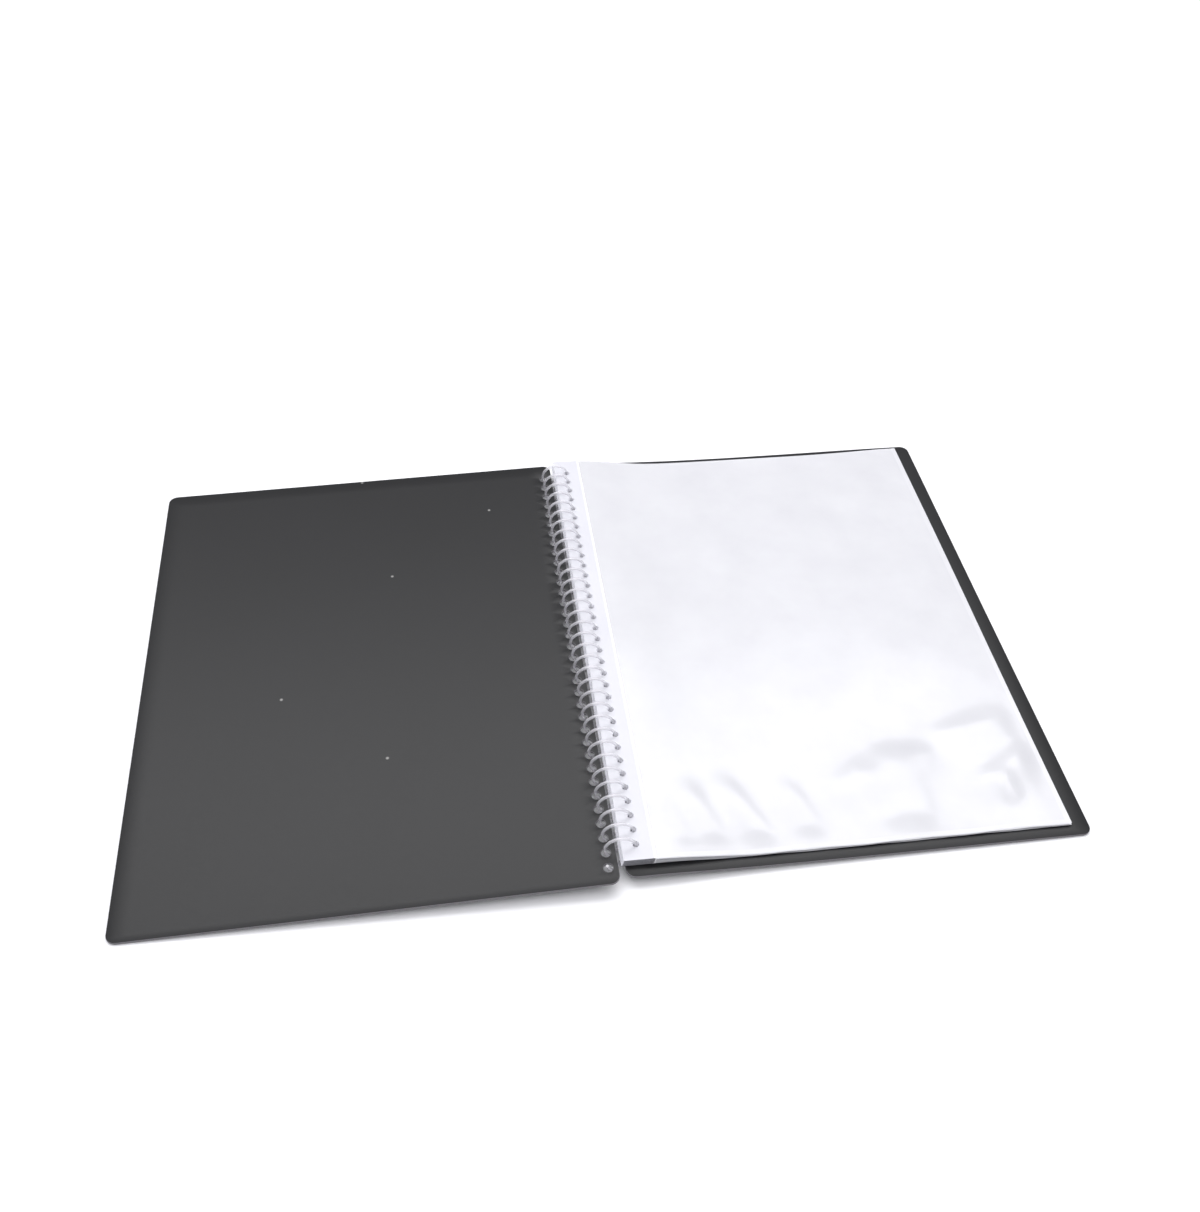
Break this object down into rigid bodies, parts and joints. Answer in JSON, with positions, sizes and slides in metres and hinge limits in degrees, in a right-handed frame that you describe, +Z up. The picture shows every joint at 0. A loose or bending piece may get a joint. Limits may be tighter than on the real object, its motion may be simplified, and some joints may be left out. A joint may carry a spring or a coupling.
{
  "type": "clear pocket display book",
  "caption": "Spiral-bound display book lying open: dark plastic covers and a stack of clear sheet pockets that turn on a clear coil.",
  "frame": {"origin": "on the table under the middle of the open book", "axes": "+X from the open front cover to the pockets, +Y along the coil to the pockets' open ends, +Z up"},
  "size_m": [0.4834, 0.3134, 0.0181],
  "materials": {
    "cover": "dark grey polypropylene sheet with a fine matt grain",
    "coil": "clear glossy plastic filament",
    "strip": "milky polypropylene strip, punched",
    "film": "clear, slightly milky polypropylene film"
  },
  "bodies": {
    "rear_cover": {"rear_cover": "cover", "spiral_coil": "coil"},
    "front_cover": {"front_cover": "cover"},
    "pocket_01": {"pocket_01_strip": "strip", "pocket_01_films": "film"},
    "pocket_02": {"pocket_02_strip": "strip", "pocket_02_films": "film"},
    "pocket_03": {"pocket_03_strip": "strip", "pocket_03_films": "film"},
    "pocket_04": {"pocket_04_strip": "strip", "pocket_04_films": "film"},
    "pocket_05": {"pocket_05_strip": "strip", "pocket_05_films": "film"},
    "pocket_06": {"pocket_06_strip": "strip", "pocket_06_films": "film"},
    "pocket_07": {"pocket_07_strip": "strip", "pocket_07_films": "film"},
    "pocket_08": {"pocket_08_strip": "strip", "pocket_08_films": "film"},
    "pocket_09": {"pocket_09_strip": "strip", "pocket_09_films": "film"},
    "pocket_10": {"pocket_10_strip": "strip", "pocket_10_films": "film"},
    "pocket_11": {"pocket_11_strip": "strip", "pocket_11_films": "film"},
    "pocket_12": {"pocket_12_strip": "strip", "pocket_12_films": "film"},
    "pocket_13": {"pocket_13_strip": "strip", "pocket_13_films": "film"},
    "pocket_14": {"pocket_14_strip": "strip", "pocket_14_films": "film"},
    "pocket_15": {"pocket_15_strip": "strip", "pocket_15_films": "film"},
    "pocket_16": {"pocket_16_strip": "strip", "pocket_16_films": "film"},
    "pocket_17": {"pocket_17_strip": "strip", "pocket_17_films": "film"},
    "pocket_18": {"pocket_18_strip": "strip", "pocket_18_films": "film"},
    "pocket_19": {"pocket_19_strip": "strip", "pocket_19_films": "film"},
    "pocket_20": {"pocket_20_strip": "strip", "pocket_20_films": "film"}
  },
  "joints": [
    {"name": "front_cover_hinge", "type": "hinge", "parent": "rear_cover", "child": "front_cover", "pos_m": [0.00045, 0, 0.00961], "axis": [0, 1, 0], "range_deg": [0, 182.2]},
    {"name": "pocket_01_turn", "type": "hinge", "parent": "rear_cover", "child": "pocket_01", "pos_m": [0.00045, 0, 0.00961], "axis": [0, -1, 0], "range_deg": [0, 181]},
    {"name": "pocket_02_turn", "type": "hinge", "parent": "rear_cover", "child": "pocket_02", "pos_m": [0.00045, 0, 0.00961], "axis": [0, -1, 0], "range_deg": [0, 181]},
    {"name": "pocket_03_turn", "type": "hinge", "parent": "rear_cover", "child": "pocket_03", "pos_m": [0.00045, 0, 0.00961], "axis": [0, -1, 0], "range_deg": [0, 181]},
    {"name": "pocket_04_turn", "type": "hinge", "parent": "rear_cover", "child": "pocket_04", "pos_m": [0.00045, 0, 0.00961], "axis": [0, -1, 0], "range_deg": [0, 181]},
    {"name": "pocket_05_turn", "type": "hinge", "parent": "rear_cover", "child": "pocket_05", "pos_m": [0.00045, 0, 0.00961], "axis": [0, -1, 0], "range_deg": [0, 181]},
    {"name": "pocket_06_turn", "type": "hinge", "parent": "rear_cover", "child": "pocket_06", "pos_m": [0.00045, 0, 0.00961], "axis": [0, -1, 0], "range_deg": [0, 181]},
    {"name": "pocket_07_turn", "type": "hinge", "parent": "rear_cover", "child": "pocket_07", "pos_m": [0.00045, 0, 0.00961], "axis": [0, -1, 0], "range_deg": [0, 181]},
    {"name": "pocket_08_turn", "type": "hinge", "parent": "rear_cover", "child": "pocket_08", "pos_m": [0.00045, 0, 0.00961], "axis": [0, -1, 0], "range_deg": [0, 181]},
    {"name": "pocket_09_turn", "type": "hinge", "parent": "rear_cover", "child": "pocket_09", "pos_m": [0.00045, 0, 0.00961], "axis": [0, -1, 0], "range_deg": [0, 181]},
    {"name": "pocket_10_turn", "type": "hinge", "parent": "rear_cover", "child": "pocket_10", "pos_m": [0.00045, 0, 0.00961], "axis": [0, -1, 0], "range_deg": [0, 181]},
    {"name": "pocket_11_turn", "type": "hinge", "parent": "rear_cover", "child": "pocket_11", "pos_m": [0.00045, 0, 0.00961], "axis": [0, -1, 0], "range_deg": [0, 181]},
    {"name": "pocket_12_turn", "type": "hinge", "parent": "rear_cover", "child": "pocket_12", "pos_m": [0.00045, 0, 0.00961], "axis": [0, -1, 0], "range_deg": [0, 181]},
    {"name": "pocket_13_turn", "type": "hinge", "parent": "rear_cover", "child": "pocket_13", "pos_m": [0.00045, 0, 0.00961], "axis": [0, -1, 0], "range_deg": [0, 181]},
    {"name": "pocket_14_turn", "type": "hinge", "parent": "rear_cover", "child": "pocket_14", "pos_m": [0.00045, 0, 0.00961], "axis": [0, -1, 0], "range_deg": [0, 181]},
    {"name": "pocket_15_turn", "type": "hinge", "parent": "rear_cover", "child": "pocket_15", "pos_m": [0.00045, 0, 0.00961], "axis": [0, -1, 0], "range_deg": [0, 181]},
    {"name": "pocket_16_turn", "type": "hinge", "parent": "rear_cover", "child": "pocket_16", "pos_m": [0.00045, 0, 0.00961], "axis": [0, -1, 0], "range_deg": [0, 181]},
    {"name": "pocket_17_turn", "type": "hinge", "parent": "rear_cover", "child": "pocket_17", "pos_m": [0.00045, 0, 0.00961], "axis": [0, -1, 0], "range_deg": [0, 181]},
    {"name": "pocket_18_turn", "type": "hinge", "parent": "rear_cover", "child": "pocket_18", "pos_m": [0.00045, 0, 0.00961], "axis": [0, -1, 0], "range_deg": [0, 181]},
    {"name": "pocket_19_turn", "type": "hinge", "parent": "rear_cover", "child": "pocket_19", "pos_m": [0.00045, 0, 0.00961], "axis": [0, -1, 0], "range_deg": [0, 181]},
    {"name": "pocket_20_turn", "type": "hinge", "parent": "rear_cover", "child": "pocket_20", "pos_m": [0.00045, 0, 0.00961], "axis": [0, -1, 0], "range_deg": [0, 181]}
  ],
  "couplings": [
    {"joint": "pocket_02_turn", "follows": "pocket_01_turn", "ratio": 0.99684},
    {"joint": "pocket_03_turn", "follows": "pocket_01_turn", "ratio": 0.99368},
    {"joint": "pocket_04_turn", "follows": "pocket_01_turn", "ratio": 0.99053},
    {"joint": "pocket_05_turn", "follows": "pocket_01_turn", "ratio": 0.98737},
    {"joint": "pocket_06_turn", "follows": "pocket_01_turn", "ratio": 0.98421},
    {"joint": "pocket_07_turn", "follows": "pocket_01_turn", "ratio": 0.98105},
    {"joint": "pocket_08_turn", "follows": "pocket_01_turn", "ratio": 0.97789},
    {"joint": "pocket_09_turn", "follows": "pocket_01_turn", "ratio": 0.97474},
    {"joint": "pocket_10_turn", "follows": "pocket_01_turn", "ratio": 0.97158},
    {"joint": "pocket_11_turn", "follows": "pocket_01_turn", "ratio": 0.96842},
    {"joint": "pocket_12_turn", "follows": "pocket_01_turn", "ratio": 0.96526},
    {"joint": "pocket_13_turn", "follows": "pocket_01_turn", "ratio": 0.96211},
    {"joint": "pocket_14_turn", "follows": "pocket_01_turn", "ratio": 0.95895},
    {"joint": "pocket_15_turn", "follows": "pocket_01_turn", "ratio": 0.95579},
    {"joint": "pocket_16_turn", "follows": "pocket_01_turn", "ratio": 0.95263},
    {"joint": "pocket_17_turn", "follows": "pocket_01_turn", "ratio": 0.94947},
    {"joint": "pocket_18_turn", "follows": "pocket_01_turn", "ratio": 0.94632},
    {"joint": "pocket_19_turn", "follows": "pocket_01_turn", "ratio": 0.94316},
    {"joint": "pocket_20_turn", "follows": "pocket_01_turn", "ratio": 0.94}
  ]
}
